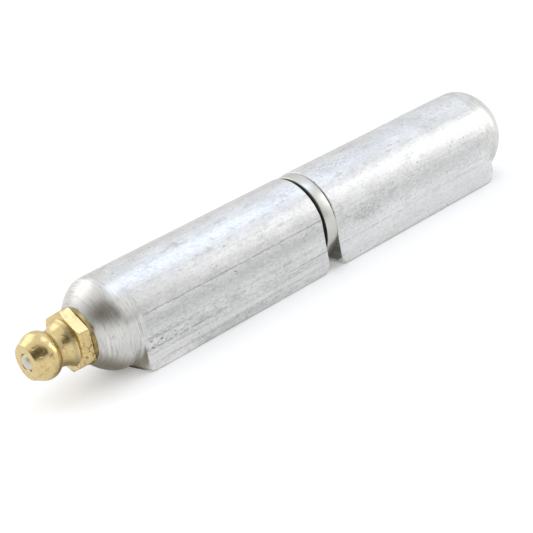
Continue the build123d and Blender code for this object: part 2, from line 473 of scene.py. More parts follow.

# %% Seam and shade
# A dark line runs where the round meets the flank, wandering a little as the die wore. Just below
# it the flank is painted a little darker, as painted shade.
seam_wander = waves(tree, place, (0.2, 0.0, 0.0), detail=3)
seam_height = weighed(tree, up_z, where(tree, (seam_wander, 0.3, 0.7, -0.09, 0.09)))
seam = where(
    tree,
    (miss(tree, seam_height, 8.3), 0.20, 0.0),
    on_flank,
    (drag_breaks, 0.30, 0.56, 0.25, 0.70),
    (along_x, 2.0, 6.0, 1.0, 0.3),
)
# Painted shade: a darker band on the flank just below the seam, stronger on the lift-off half.
shade = where(
    tree,
    (miss(tree, up_z, 6.9), 1.7, 0.3, 0.0, 0.36),
    (lift_off_side, 0.0, 1.0, 0.55, 1.0),
    on_flank,
    (clouds, 0.3, 0.6, 0.4, 1.0),
)
print("seam and shade drawn, nodes so far", len(tree.nodes))

# %% Smudges
# Handling has left two grey smudges on the pin's half: one near the top and one on the flank.
smudges = []
for centre, shrink, strength in (
    ((10.0, -2.6, 13.4), (1 / 6.5, 0.3, 1 / 0.9), 0.30),
    ((11.6, -6.6, 6.4), (1 / 4.5, 0.3, 1 / 2.0), 0.50),
):
    off = add_node(tree, "ShaderNodeVectorMath", {0: place, 1: centre}, operation="SUBTRACT")
    off = add_node(
        tree, "ShaderNodeVectorMath", {0: off.outputs[0], 1: shrink}, operation="MULTIPLY"
    )
    far = add_node(tree, "ShaderNodeVectorMath", {0: off.outputs[0]}, operation="LENGTH")
    smudges.append(where(tree, (far.outputs["Value"], 1.0, 0.0, 0.0, strength)))
smudge = where(tree, weighed(tree, *smudges), (dashes, 0.42, 0.58, 0.35, 1.0))
print("smudges", len(smudges))

# %% Colour the marks, the painted light and the painted shade
# Painted light: the foot of the flanks is painted lighter, most of all on the pin's half, and so is a
# band about 2.1 mm up.
painted_light_low_on_flanks = strongest(
    tree,
    where(tree, (up_z, 5.6, 4.2), (along_x, -8.0, 8.0, 0.0, 0.36)),
    where(tree, (off_pale_band, 0.8, 0.2, 0.0, 0.36)),
)
marks_and_painted_shade = strongest(tree, drag, seam, weld_edge, shade, smudge)
# Bare metal shines in a few fresh flecks.
fleck_cells = add_node(tree, "ShaderNodeTexVoronoi", {"Vector": place, "Scale": 0.6})
fleck = (fleck_cells.outputs["Distance"], 0.12, 0.05, 0.0, 0.7)
extruded = paint(
    tree,
    extruded,
    ("#F4F4F3", painted_light_low_on_flanks),
    ("#83837D", marks_and_painted_shade),
    ("#FAFAF9", fleck, (clouds, 0.54, 0.58), (dashes, 0.46, 0.54)),
    ("#6A6963", holes),
)
print("marks coloured, nodes so far", len(tree.nodes))

# %% Turned finish
tool_lines = waves(tree, place, (6.0, 0.32, 0.32), detail=3, shift=(0, 3, 3))
tool_scuffs = waves(tree, place, (4.5, 0.9, 0.9), detail=3, shift=(4, 0, 0))
hazes = waves(tree, place, (0.35, 0.35, 0.35), detail=5, shift=(0, 0, 8))
turned = paint(
    tree,
    "#D2D1CE",
    ("#E0DFDC", (hazes, 0.36, 0.64)),
    ("#9C9B95", (tool_lines, 0.44, 0.62), (hazes, 0.40, 0.58, 0.10, 0.45)),
    ("#9A9993", (tool_scuffs, 0.54, 0.70, 0.0, 0.50)),
    ("#8E8D86", (grit, 0.60, 0.74, 0.0, 0.30)),
    # The lowest part of the turned end, by the weld face, is painted darker.
    ("#4A483C", (up_z, 0.7, 0.30, 0.0, 0.85)),
)
print("turned finish drawn, nodes so far", len(tree.nodes))

# %% Fade from extruded to turned
on_lathe = add_node(tree, "ShaderNodeAttribute", attribute_name="turned").outputs["Fac"]
ragged = weighed(tree, on_lathe, where(tree, (dashes, 0.3, 0.7, -0.3, 0.3)))
share = where(tree, (ragged, 0.35, 0.65))
bar_roughness = weighed(
    tree,
    where(tree, (clouds, 0.35, 0.65, 0.34, 0.44)),
    where(tree, (dashes, 0.45, 0.7, 0.0, 0.08)),
)
dents = strongest(tree, marks_and_painted_shade, holes)
bar_height = weighed(tree, die_lines, (dashes, 0.6), (grit, 0.35), (dents, -0.8))
dome_roughness = where(tree, (hazes, 0.35, 0.65, 0.34, 0.42))
dome_height = weighed(tree, (tool_lines, 0.35))
roughness, height = [
    add_node(tree, "ShaderNodeMix", {0: share, 2: on_bar, 3: on_dome}, data_type="FLOAT").outputs[0]
    for on_bar, on_dome in ((bar_roughness, dome_roughness), (bar_height, dome_height))
]
dress(tree, paint(tree, extruded, (turned, share)), roughness, height, 0.012)
print("made", barrel_finish.name, "with", len(tree.nodes), "nodes")

# %% [markdown]
# ## Sawn aluminium
#
# The inner ends and the bores keep the dull grey of the saw and the drill, with straight coarse
# marks across the face.

# %% Sawn finish
sawn_finish, tree, place = new_finish("aluminium_sawn_face")
saw_lines = waves(tree, place, (0.5, 0.4, 4.0))
dress(tree, paint(tree, "#8F8E86", ("#B4B3AC", (saw_lines, 0.3, 0.7))), 0.5, saw_lines, 0.010)
print("made", sawn_finish.name)

# %% [markdown]
# ## Brass and steel parts
#
# The fitting is turned from hexagon brass and then tumbled, so it is bright with fine rings. The
# washer is stainless with a satin rim. The pin, the ball, the spring and the bush are seen only when
# the hinge is taken apart, and each keeps its own metal.

# %% Small metal parts


def ringed_metal(name, light, dark, roughness, rings_per_mm, ring_depth):
    """A turned metal: rings round the pin axis that tint the colour and ripple the surface."""
    material, tree, place = new_finish(name)
    rings = waves(tree, place, (rings_per_mm, 0.15, 0.15))
    stains = waves(tree, place, (0.8, 0.8, 0.8), detail=4)
    colour = paint(tree, light, (dark, (rings, 0.3, 0.7), (stains, 0.2, 0.8)))
    stained = where(tree, (stains, 0.3, 0.7, roughness * 0.85, roughness * 1.2))
    dress(tree, colour, stained, rings, ring_depth)
    print("made", name)
    return material


# Stainless, pressed and tumbled: a soft, even, slightly warm sheen.
satin_stainless = ringed_metal("stainless_satin_washer", "#CFCEC8", "#C2C1B9", 0.32, 6.0, 0.0015)
# Steel, ground between centres: bright and cool, with fine rings.
ground_steel = ringed_metal("steel_ground_pin", "#B9BABB", "#A3A4A6", 0.22, 6.0, 0.002)
# Steel, burnished and a little dulled by grease: pale, without a sharp reflection.
bearing_steel = ringed_metal("steel_burnished_ball", "#D3CDBF", "#C4BEB0", 0.38, 2.0, 0.001)
# Steel wire, drawn: darker, with the die's faint lines.
spring_wire = ringed_metal("steel_spring_wire_drawn", "#9C9C9B", "#7F7F7D", 0.3, 6.0, 0.002)
# Brass, reamed: warm, with clear rings.
bush_brass = ringed_metal("brass_bush_reamed", "#D2AE6D", "#B8924F", 0.3, 5.0, 0.003)

# %% [markdown]
# ## The fitting's brass
#
# Brass takes stains as well as rings. The cloudy brown ones lie in the dimples that tumbling left,
# and tiny pits show nearly black. The two inner corners are painted a darker, greyer brass and left
# rougher, and the collar under the hexagon is painted dark: both are painted shade.

# %% Brass
NECK_START_X = -40.5  # mm along the pin axis, as the two below: where the head runs into the neck
FLARE_END_X = -38.65  # where the flare meets the hexagon
COLLAR_X = -36.5

bright_brass, tree, place = new_finish("brass_turned_tumbled")
along_x, _, up_z = add_node(tree, "ShaderNodeSeparateXYZ", {0: place}).outputs
rings = waves(tree, place, (4.0, 0.15, 0.15))
stains = waves(tree, place, (0.9, 0.9, 0.9), detail=5, shift=(2, 0, 0))
peel = waves(tree, place, (2.0, 2.0, 2.0), detail=4, shift=(0, 5, 0))
# The hexagon's flats keep the drawn skin of the bar, which the tool has cleaned off elsewhere.
peeled = where(tree, (along_x, -38.6, -38.0, 0.30, 1.0), (up_z, 9.5, 6.5, 0.15, 1.0))
# Painted shade: the two inner corners, where the head runs into the neck and where the flare meets the
# hexagon, are painted a darker, greyer brass, and they are also made rougher.
painted_shade_and_dull_corner = strongest(
    tree,
    where(tree, (miss(tree, along_x, FLARE_END_X), 0.34, 0.08)),
    where(tree, (miss(tree, along_x, NECK_START_X), 0.34, 0.08)),
)
brass = paint(
    tree,
    "#DDC793",
    ("#CBB37B", (rings, 0.35, 0.7, 0.0, 0.5)),
    ("#A68B50", peeled, (stains, 0.46, 0.68, 0.0, 0.60)),
    ("#745D33", peeled, (peel, 0.53, 0.63, 0.0, 0.80)),
    ("#40321B", peeled, (peel, 0.66, 0.71, 0.0, 0.90)),
    # Painted shade in the two inner corners.
    ("#BDB28A", (painted_shade_and_dull_corner, 0.0, 1.0, 0.0, 0.6)),
    # Painted shade: the collar, tucked between the hexagon and the dome, is painted dark.
    ("#7C6B3C", (along_x, COLLAR_X - 0.1, COLLAR_X, 0.0, 0.7)),
)
brass_roughness = weighed(
    tree, where(tree, (stains, 0.3, 0.7, 0.22, 0.32)), (painted_shade_and_dull_corner, 0.2)
)
sunk = where(tree, peeled, (peel, 0.48, 0.72))
brass_height = weighed(tree, (rings, 0.35), (sunk, -1.0))
dress(tree, brass, brass_roughness, brass_height, 0.018)
print("made", bright_brass.name)

# %% Finishes on the engineering nodes
cad_finishes = {
    "hinge_pin": ground_steel,
    "bush": bush_brass,
    "check_ball": bearing_steel,
}
for node, finish in cad_finishes.items():
    frame["nodes"][node].data.materials[0] = finish
print("finishes set on", sorted(cad_finishes))

# %% [markdown]
# ## The extruded profile
#
# Both halves are cut from one bar. Its section is a teardrop: a round top, two flat flanks that lean
# inwards a little, and a flat weld face with small round corners. The section is written as points
# round the pin axis, each an angle and a reach from the axis.

# %% Profile of the bar
FLANK_RISE = 0.9 * MM  # the flat flank meets the round this far above the axis
FLANK_LEAN = math.radians(4.5)
WELD_CORNER_RADIUS = 0.6 * MM
PROFILE_STEP = 0.13 * MM


def run_between(start, end):
    """Points from start to end, without the end, a profile step apart."""
    count = max(2, round((end - start).length / PROFILE_STEP))
    return [start.lerp(end, i / count) for i in range(count)]


def arc_points(centre, radius, start, end):
    """Points round an arc, without the last one, a profile step apart but never fewer than 6."""
    count = max(6, round(abs(end - start) * radius / PROFILE_STEP))
    turns = [start + (end - start) * i / count for i in range(count)]
    return [centre + Vector((math.cos(t), math.sin(t))) * radius for t in turns]


flank_angle = math.asin(FLANK_RISE / barrel_radius)
flank_top_y = barrel_radius * math.cos(flank_angle)
flank_distance = flank_top_y * math.cos(FLANK_LEAN) - FLANK_RISE * math.sin(FLANK_LEAN)
corner_z = -axis_z + WELD_CORNER_RADIUS
corner_y = (
    flank_distance - WELD_CORNER_RADIUS + corner_z * math.sin(FLANK_LEAN)
) / math.cos(FLANK_LEAN)
flank_end = Vector((corner_y, corner_z)) + WELD_CORNER_RADIUS * Vector(
    (math.cos(FLANK_LEAN), -math.sin(FLANK_LEAN))
)
mirrored = Vector((-1, 1))
outline = arc_points(Vector((0, 0)), barrel_radius, flank_angle, math.pi - flank_angle)
outline += run_between(Vector((-flank_top_y, FLANK_RISE)), flank_end * mirrored)
outline += arc_points(
    Vector((-corner_y, corner_z)), WELD_CORNER_RADIUS, math.pi + FLANK_LEAN, math.pi * 1.5
)
outline += run_between(Vector((-corner_y, -axis_z)), Vector((corner_y, -axis_z)))
outline += arc_points(
    Vector((corner_y, corner_z)), WELD_CORNER_RADIUS, math.pi * 1.5, math.tau - FLANK_LEAN
)
outline += run_between(flank_end, Vector((flank_top_y, FLANK_RISE)))
profile = [(math.atan2(p.y, p.x), p.length) for p in outline]
print("profile of", len(profile), "points")

# %% [markdown]
# ## One half as a skin
#
# The lathe cuts a round shape from the bar, so at any place the metal reaches to the bar's own
# profile or to the tool's path, whichever is nearer the axis. That rule makes the whole half: for
# each angle of the profile one line is drawn through the metal, from the nose along the dome, up the
# lug's end, along the bar, over the sawn edge and into the bore. Joining the lines round the axis
# gives a closed skin.

# %% The tool's path
LUG_LENGTH = 33.3 * MM
LUG_FILLET = 0.5 * MM
SKIM_DEPTH = 0.05 * MM
SHOULDER_RADIUS = 3.0 * MM
SHOULDER_ANGLE = math.radians(27.4)
CROWN_STEPS = 44
SHOULDER_STEPS = 12
BAND_STEPS = 6
FILLET_STEPS = 8

turned_radius = barrel_radius - SKIM_DEPTH
fillet_end = LUG_LENGTH + LUG_FILLET
crown_radius = SHOULDER_RADIUS + (turned_radius - SHOULDER_RADIUS) / math.cos(SHOULDER_ANGLE)
crown_setback = (crown_radius - SHOULDER_RADIUS) * math.sin(SHOULDER_ANGLE)


def arc_path(centre, radius, start, end, count):
    """(distance, radius) places round an arc, without the last one."""
    turns = [start + (end - start) * i / count for i in range(count)]
    return [(centre[0] + radius * math.cos(t), centre[1] + radius * math.sin(t)) for t in turns]


def tool_path(band_length, seat_radius):
    """(distance from the sawn face, radius) along the turned end, from the nose to the lug's end."""
    shoulder_start = fillet_end + band_length
    crown_start = math.asin(seat_radius / crown_radius)
    crown_end = math.pi / 2 - SHOULDER_ANGLE
    crown_centre = (shoulder_start - crown_setback, 0)
    crown = arc_path(crown_centre, crown_radius, crown_start, crown_end, CROWN_STEPS)
    shoulder_centre = (shoulder_start, turned_radius - SHOULDER_RADIUS)
    shoulder = arc_path(shoulder_centre, SHOULDER_RADIUS, crown_end, math.pi / 2, SHOULDER_STEPS)
    band = [
        (shoulder_start - band_length * i / BAND_STEPS, turned_radius) for i in range(BAND_STEPS)
    ]
    fillet_centre = (fillet_end, turned_radius + LUG_FILLET)
    fillet = arc_path(fillet_centre, LUG_FILLET, -math.pi / 2, -math.pi, FILLET_STEPS)
    return crown + shoulder + band + fillet + [(LUG_LENGTH, turned_radius + LUG_FILLET)]


# %% [markdown]
# The bar isn't perfect either. Its skin waves a little along its length, the sawn edge is filed, more
# at the weld corners, and the round fades into the turned end without a step. A few knocks from the
# bin are pressed in, each with its own place, width and depth.

# %% Small shape faults
EDGE_ROUND = 0.16 * MM
CORNER_ROUND = 1.0 * MM  # where the sawn edge meets the weld face
CORNER_START = 5.9 * MM  # below the axis, where the round begins to grow
CORNER_FULL = 7.0 * MM
FADE_LENGTH = 1.6 * MM
WAVE_DEPTH = 0.014 * MM
WAVES_ALONG = 0.11  # per millimetre of length
WAVES_ROUND = 2.5  # per radian or so
SEAM_DEPTH = 0.03 * MM
SEAM_WIDTH = 0.35 * MM
RIM_START = 0.7  # the raised rim of a knock, in its widths from the middle
RIM_END = 1.6
RIM_HEIGHT = 0.3  # of the knock's depth


def smooth(value, low, high):
    """0 below low, 1 above high, and an even S between them."""
    t = min(1.0, max(0.0, (value - low) / (high - low)))
    return t * t * (3 - 2 * t)


def edge_round(angle, reach):
    """How far the sawn edge is filed back at this angle."""
    down = -reach * math.sin(angle)
    return EDGE_ROUND + (CORNER_ROUND - EDGE_ROUND) * smooth(down, CORNER_START, CORNER_FULL)


def pressed_in(x, angle, reach, knocks):
    """How far the skin lies below the perfect profile at a place on the bar."""
    y = math.cos(angle)
    z = math.sin(angle)
    wave = noise.noise(Vector((x / MM * WAVES_ALONG, y * WAVES_ROUND, z * WAVES_ROUND)))
    depth = WAVE_DEPTH * (0.5 + wave)
    seam = abs(reach * z - FLANK_RISE)
    if y * y > 0.5:
        depth += SEAM_DEPTH * (1 - smooth(seam, 0.0, SEAM_WIDTH)) * (0.6 + wave)
    for knock_x, knock_angle, width, knock_depth in knocks:
        turn = (angle - math.radians(knock_angle) + math.pi) % math.tau - math.pi
        away = math.hypot(x - knock_x * MM, turn * reach) / (width * MM)
        if away < RIM_END:
            bowl = 1 - smooth(away, 0.0, 1.0)
            rim = smooth(away, RIM_START, 1.0) * (1 - smooth(away, 1.0, RIM_END))
            depth += knock_depth * MM * (bowl - RIM_HEIGHT * rim)
    return max(0.0, depth)


# %% Lines through a half
LUG_STEPS = 4  # up the lug's end, and again round its edge
BAR_STEPS = 160
EDGE_STEPS = 6
FACE_STEPS = 8
LUG_END_ROUND = 0.10 * MM
LUG_CORNER_ROUND = 1.1 * MM  # at the weld corners
LUG_CORNER_START = 5.2 * MM  # below the axis, where it begins to grow
FAULT_FADE = 0.3 * MM  # the skin's faults end this far from the lug's end


def line_through(angle, reach, path, bore, inner_x, outward, knocks):
    """Stations (distance, radius, finish, share turned) for one angle, from the nose to the bore."""
    top = path[-1][1]
    has_lug = reach > top
    on_round = reach <= barrel_radius + 0.001 * MM
    line = []
    for d, r in path:
        fade = smooth(d, fillet_end - FADE_LENGTH, fillet_end)
        limit = reach - (reach - turned_radius) * fade
        if on_round and r > turned_radius * 0.999:
            r = min(limit, reach)
        line.append((d, min(r, reach), 0, 1.0))
    down = smooth(-reach * math.sin(angle), LUG_CORNER_START, CORNER_FULL)
    corner = LUG_END_ROUND + (LUG_CORNER_ROUND - LUG_END_ROUND) * down
    corner = min(corner, max(0.0, (reach - top) / 2.2))  # always less than half of the end
    for i in range(1, LUG_STEPS + 1):
        r = top + (reach - corner - top) * i / LUG_STEPS if has_lug else line[-1][1]
        line.append((LUG_LENGTH, r, 0, 1.0))
    if has_lug:
        centre = (LUG_LENGTH - corner, reach - corner)
        rounded = arc_path(centre, corner, 0, math.pi / 2, LUG_STEPS)
        line += [(d, r, 0, 0.8 - 0.2 * i) for i, (d, r) in enumerate(rounded)]
    else:
        line += [line[-1]] * LUG_STEPS
    filed = edge_round(angle, reach)
    bar_end = LUG_LENGTH - corner
    for i in range(BAR_STEPS + 1):
        d = bar_end + (filed - bar_end) * i / BAR_STEPS
        fade = smooth(d, fillet_end - FADE_LENGTH, fillet_end) if on_round else 0.0
        limit = reach - (reach - turned_radius) * fade
        inset = pressed_in(inner_x + outward * d, angle, reach, knocks)
        ease = smooth(d, 0.0, 2 * filed) * (1 - smooth(d, bar_end - FAULT_FADE, bar_end))
        share = smooth(d, fillet_end - FADE_LENGTH, LUG_LENGTH) if not has_lug else 0.0
        line.append((d, limit - inset * ease, 0, share))
    for d, r in arc_path((filed, reach - filed), filed, math.pi / 2, math.pi, EDGE_STEPS)[1:]:
        line.append((d, r, 0, 0.0))
    mouth = bore[0][1]
    for i in range(FACE_STEPS):
        line.append((0.0, reach - filed + (mouth - reach + filed) * i / FACE_STEPS, 1, 0.0))
    line += [(d, r, 1, 0.0) for d, r in bore]
    return line


# %% Join lines round the axis
MERGE_DISTANCE = 0.0005 * MM
SHARP_ANGLE = math.radians(35)


def close_up(mesh):
    """Merges doubles, turns the faces outwards and keeps the sharp edges sharp."""
    work = bmesh.new()
    work.from_mesh(mesh)
    bmesh.ops.remove_doubles(work, verts=work.verts, dist=MERGE_DISTANCE)
    bmesh.ops.dissolve_degenerate(work, edges=work.edges, dist=MERGE_DISTANCE)
    bmesh.ops.recalc_face_normals(work, faces=work.faces)
    open_edges = sum(1 for edge in work.edges if len(edge.link_faces) != 2)
    triangles = sum(len(face.verts) - 2 for face in work.faces)
    work.to_mesh(mesh)
    work.free()
    mesh.shade_smooth()
    mesh.set_sharp_from_angle(angle=SHARP_ANGLE)
    print(mesh.name, triangles, "triangles,", open_edges, "open edges")
    return put_in_scene(mesh.name, mesh)


def join_lines(name, angles, lines, loop, finishes):
    """A closed skin from one line of (x, radius, finish, share turned) for each angle."""
    stations = len(lines[0])
    rows = stations if loop else stations - 1
    points = []
    faces = []
    finish_of = []
    for column, (angle, line) in enumerate(zip(angles, lines)):
        here = column * stations
        after = (column + 1) % len(angles) * stations
        for row, (x, r, finish, _) in enumerate(line):
            points.append((x, r * math.cos(angle), axis_z + r * math.sin(angle)))
            if row < rows:
                below = (row + 1) % stations
                faces.append((here + row, here + below, after + below, after + row))
                finish_of.append(finish)
    mesh = bpy.data.meshes.new(name)
    mesh.from_pydata(points, [], faces)
    shares = [station[3] for line in lines for station in line]
    mesh.attributes.new("turned", "FLOAT", "POINT").data.foreach_set("value", shares)
    for finish in finishes:
        mesh.materials.append(finish)
    mesh.polygons.foreach_set("material_index", finish_of)
    return close_up(mesh)


def barrel(name, inner_x, outward, path, bore, through, knocks):
    """One half, its lines joined round the pin axis."""
    lines = []
    for angle, reach in profile:
        line = line_through(angle, reach, path, bore, inner_x, outward, knocks)
        lines.append([(inner_x + outward * d, r, f, t) for d, r, f, t in line])
    angles = [angle for angle, _ in profile]
    return join_lines(name, angles, lines, through, (barrel_finish, sawn_finish))


# %% Half that holds the pin
PIN_RADIUS = 3.5 * MM
PIN_HOLE_DEPTH = 27.0 * MM
PIN_BAND = 0.4 * MM
PIN_HALF_KNOCKS = (
    # x and angle in mm and degrees, then width and depth in mm
    (6.9, 116, 0.35, 0.10),
    (20.0, 193, 0.30, 0.05),
    (31.1, 221, 0.32, 0.07),
    (13.4, 40, 0.45, 0.06),
)

pin_bore = [(PIN_HOLE_DEPTH * i / 12, PIN_RADIUS) for i in range(13)]
pin_bore.append((PIN_HOLE_DEPTH, 0.0))
pin_path = tool_path(PIN_BAND, 0.0)
pin_skin = barrel(
    "pin_half_barrel", pin_half_x, 1, pin_path, pin_bore, through=False, knocks=PIN_HALF_KNOCKS
)

# %% Half that lifts off
BUSH_OUTER_RADIUS = 4.5 * MM
BUSH_END = 28.3 * MM
GREASE_RADIUS = 2.5 * MM
THREAD_RADIUS = 3.0 * MM
TAPPED_DEPTH = 7.0 * MM
SEAT_RADIUS = 4.1 * MM
FREE_BAND = 0.9 * MM
FREE_HALF_KNOCKS = (
    (-4.64, 192, 0.42, 0.12),
    (0.16, 123, 0.35, 0.09),
    (-30.3, 203, 0.40, 0.12),
    (-21.8, 190, 0.28, 0.08),
    (-20.0, 213, 0.30, 0.07),
    (-24.4, 139, 0.25, 0.05),
    (-9.6, 141, 0.25, 0.05),
    (-12.0, 60, 0.50, 0.06),
    (-29.7, 171, 0.80, 0.06),
)

seat = free_end_x - free_half_box[0].x
free_bore = [(BUSH_END * i / 12, BUSH_OUTER_RADIUS) for i in range(13)]
free_bore += [
    (BUSH_END, GREASE_RADIUS),
    (seat - TAPPED_DEPTH, GREASE_RADIUS),
    (seat - TAPPED_DEPTH, THREAD_RADIUS),
    (seat, THREAD_RADIUS),
]
free_path = tool_path(FREE_BAND, SEAT_RADIUS)
free_skin = barrel(
    "free_half_barrel", free_end_x, -1, free_path, free_bore, through=True, knocks=FREE_HALF_KNOCKS
)

# %% [markdown]
# ## The grease fitting
#
# The fitting is turned from hexagon brass bar: a dished tip round the ball, a cone and a round head
# for the grease gun, a neck, a flare up to the hexagon, and a collar that seats on the dome. The same
# joined lines make it. The hexagon's reach at each angle comes from its six flats, added so that the
# corners come out a little rounded, and the tumbling that such fittings get leaves small dimples.

# %% Outline of the fitting
HEX_APOTHEM = 3.97 * MM
HEX_TURN = 36.0  # degrees
HEX_SHARPNESS = 70
HEX_FRONT_RADIUS = 4.1 * MM
HEX_THICKNESS = 1.8 * MM
HEX_CHAMFER = math.radians(30)
COLLAR_RADIUS = 4.1 * MM
COLLAR_THICKNESS = 0.6 * MM
TIP_SETBACK = 0.36 * MM  # the ball's nose stands this far out of the tip
OPENING_RADIUS = 1.22 * MM
DISH_RADIUS = 1.34 * MM
DISH_DEPTH = 0.17 * MM
TIP_EDGE_RADIUS = 0.18 * MM
HEAD_FROM_SEAT = 6.3 * MM
HEAD_RADIUS = 3.4 * MM
HEAD_ROUND = 2.2 * MM
HEAD_CONE = math.radians(28)
NECK_RADIUS = 2.65 * MM
FLARE_RADIUS = 3.4 * MM
VALVE_BORE_RADIUS = 1.7 * MM
STAKED_RADIUS = 0.8 * MM
STAKED_THICKNESS = 0.6 * MM
THREAD_END_CHAMFER = 0.5 * MM
VALVE_SETBACK = 1.1 * MM  # from the tip to the valve bore
OPENING_LENGTH = 0.57 * MM

tip_x = fitting_box[0].x
seat_x = free_half_box[0].x
shank_end_x = fitting_box[1].x
collar_x = seat_x - COLLAR_THICKNESS
hex_front_x = collar_x - HEX_THICKNESS
head_x = seat_x - HEAD_FROM_SEAT
head_centre = (head_x, HEAD_RADIUS - HEAD_ROUND)
neck_x = head_x + math.sqrt(HEAD_ROUND**2 - (NECK_RADIUS - head_centre[1]) ** 2)


def hexagon_reach(angle):
    """The hexagon's reach at an angle, its six flats blended by a high power."""
    flats = [math.cos(angle - math.radians(HEX_TURN + 30 + 60 * i)) for i in range(6)]
    total = sum(c**HEX_SHARPNESS for c in flats if c > 0)
    return HEX_APOTHEM / total ** (1 / HEX_SHARPNESS)


def straight(start, end, count):
    """Places from start to end, without the end."""
    return [
        (start[0] + (end[0] - start[0]) * i / count, start[1] + (end[1] - start[1]) * i / count)
        for i in range(count)
    ]


# %% Head, neck and flare
face_x = tip_x + TIP_SETBACK
cone_end = (
    head_x - HEAD_ROUND * math.sin(HEAD_CONE),
    head_centre[1] + HEAD_ROUND * math.cos(HEAD_CONE),
)
rim_radius = cone_end[1] - (cone_end[0] - face_x) * math.tan(HEAD_CONE)
rim_turn = math.pi / 2 - HEAD_CONE
rim_inset = TIP_EDGE_RADIUS * math.tan(rim_turn / 2)
rim_centre = (face_x + TIP_EDGE_RADIUS, rim_radius - rim_inset)
flare_run = hex_front_x - neck_x
flare_rise = FLARE_RADIUS - NECK_RADIUS
flare_arc = (flare_run**2 + flare_rise**2) / (2 * flare_rise)
flare_turn = math.asin(flare_run / flare_arc)

front = straight((face_x + DISH_DEPTH, OPENING_RADIUS), (face_x, DISH_RADIUS), 4)
front += straight((face_x, DISH_RADIUS), (face_x, rim_radius - rim_inset), 6)
front += arc_path(rim_centre, TIP_EDGE_RADIUS, math.pi, math.pi - rim_turn, 5)
rim_end = (
    rim_centre[0] - TIP_EDGE_RADIUS * math.cos(rim_turn),
    rim_centre[1] + TIP_EDGE_RADIUS * math.sin(rim_turn),
)
front += straight(rim_end, cone_end, 14)
neck_turn = math.asin((NECK_RADIUS - head_centre[1]) / HEAD_ROUND)
front += arc_path(head_centre, HEAD_ROUND, math.pi / 2 + HEAD_CONE, neck_turn, 28)
front += arc_path(
    (neck_x, NECK_RADIUS + flare_arc), flare_arc, -math.pi / 2, -math.pi / 2 + flare_turn, 22
)
print("fitting's head and neck in", len(front), "stations")

# %% Hexagon, collar, shank and bore
FITTING_COLUMNS = 288
HEX_LEAST_CHAMFER = 0.05 * MM
HEX_BACK_BEVEL = 0.08 * MM
COLLAR_FILLET = 0.1 * MM
DIMPLE_DEPTH = 0.035 * MM
DIMPLES_PER_MM = 1.9
FINE_DIMPLES_PER_MM = 4.1
FIRST_DIMPLED = 13  # the station past the tip's rim


def dimple(x, angle, r):
    """How far the tumbling has pressed the surface in."""
    spot = Vector((x / MM, r / MM * math.cos(angle), r / MM * math.sin(angle)))
    dent = noise.noise(spot * DIMPLES_PER_MM) + 0.5 * noise.noise(spot * FINE_DIMPLES_PER_MM)
    return DIMPLE_DEPTH * max(0.0, dent)


def fitting_line(angle):
    """The fitting's line for one angle, from the ball's opening round the shank and back."""
    reach = hexagon_reach(angle)
    front_reach = min(HEX_FRONT_RADIUS, reach - HEX_LEAST_CHAMFER)
    chamfer_end = hex_front_x + (reach - front_reach) * math.tan(HEX_CHAMFER)
    back_reach = min(HEX_FRONT_RADIUS, reach) - COLLAR_FILLET
    thread_end = shank_end_x - THREAD_END_CHAMFER
    shank_end_radius = THREAD_RADIUS - THREAD_END_CHAMFER
    staked_x = shank_end_x - STAKED_THICKNESS
    valve_x = tip_x + VALVE_SETBACK
    outside = (
        # each corner with the number of stations from it to the next one
        (hex_front_x, FLARE_RADIUS, 5),
        (hex_front_x, front_reach, 4),
        (chamfer_end, reach, 16),
        (collar_x - HEX_BACK_BEVEL, reach, 2),
        (collar_x, reach - HEX_BACK_BEVEL, 2),
        (collar_x, back_reach, 2),
        (collar_x + COLLAR_FILLET, COLLAR_RADIUS, 4),
        (seat_x, COLLAR_RADIUS, 3),
        (seat_x, THREAD_RADIUS, 4),
        (thread_end, THREAD_RADIUS, 1),
        (shank_end_x, shank_end_radius, 2),
        (shank_end_x, STAKED_RADIUS, 0),
    )
    line = list(front)
    for (x, r, count), (next_x, next_r, _) in zip(outside, outside[1:]):
        line += straight((x, r), (next_x, next_r), count)
    line += [(shank_end_x, STAKED_RADIUS), (staked_x, STAKED_RADIUS)]
    line += straight((staked_x, VALVE_BORE_RADIUS), (valve_x, VALVE_BORE_RADIUS), 6)
    line += [(valve_x, VALVE_BORE_RADIUS), (tip_x + OPENING_LENGTH, OPENING_RADIUS)]
    collar_start = len(front) + sum(count for _, _, count in outside[:6])
    dimpled = [
        (x, r - (dimple(x, angle, r) if FIRST_DIMPLED <= i < collar_start else 0.0))
        for i, (x, r) in enumerate(line)
    ]
    return [(x, r, 0, 1.0) for x, r in dimpled]


fitting_angles = [math.tau * i / FITTING_COLUMNS for i in range(FITTING_COLUMNS)]
fitting = join_lines(
    "grease_fitting",
    fitting_angles,
    [fitting_line(angle) for angle in fitting_angles],
    True,
    (bright_brass,),
)

# %% [markdown]
# ## The washer
#
# A washer is a small section swept round a circle, which is what Geometry Nodes do with two curves:
# a rectangle with filleted corners is the section, a circle is the path, and Curve to Mesh joins
# them. The sizes are the tree's inputs, so the same tree would make any washer.

# %% Grow a mesh from a tree


def new_tree(name, sizes):
    """An empty Geometry Nodes tree with one float input for each size."""
    tree = bpy.data.node_groups.new(name, "GeometryNodeTree")
    tree.interface.new_socket("Geometry", in_out="OUTPUT", socket_type="NodeSocketGeometry")
    for label in sizes:
        tree.interface.new_socket(label, in_out="INPUT", socket_type="NodeSocketFloat")
    return tree, add_node(tree, "NodeGroupInput").outputs


def end_tree(tree, geometry, start_x, finish):
    """Turns the shape onto the pin axis at start_x, makes it real and gives it a finish."""
    turned = add_node(
        tree,
        "GeometryNodeTransform",
        {
            "Geometry": geometry,
            "Rotation": (0.0, math.radians(90), 0.0),
            "Translation": (start_x, 0.0, axis_z),
        },
    )
    real = add_node(tree, "GeometryNodeRealizeInstances", {"Geometry": turned.outputs[0]})
    dressed = add_node(
        tree, "GeometryNodeSetMaterial", {"Geometry": real.outputs[0], "Material": finish}
    )
    add_node(tree, "NodeGroupOutput", {"Geometry": dressed.outputs[0]})


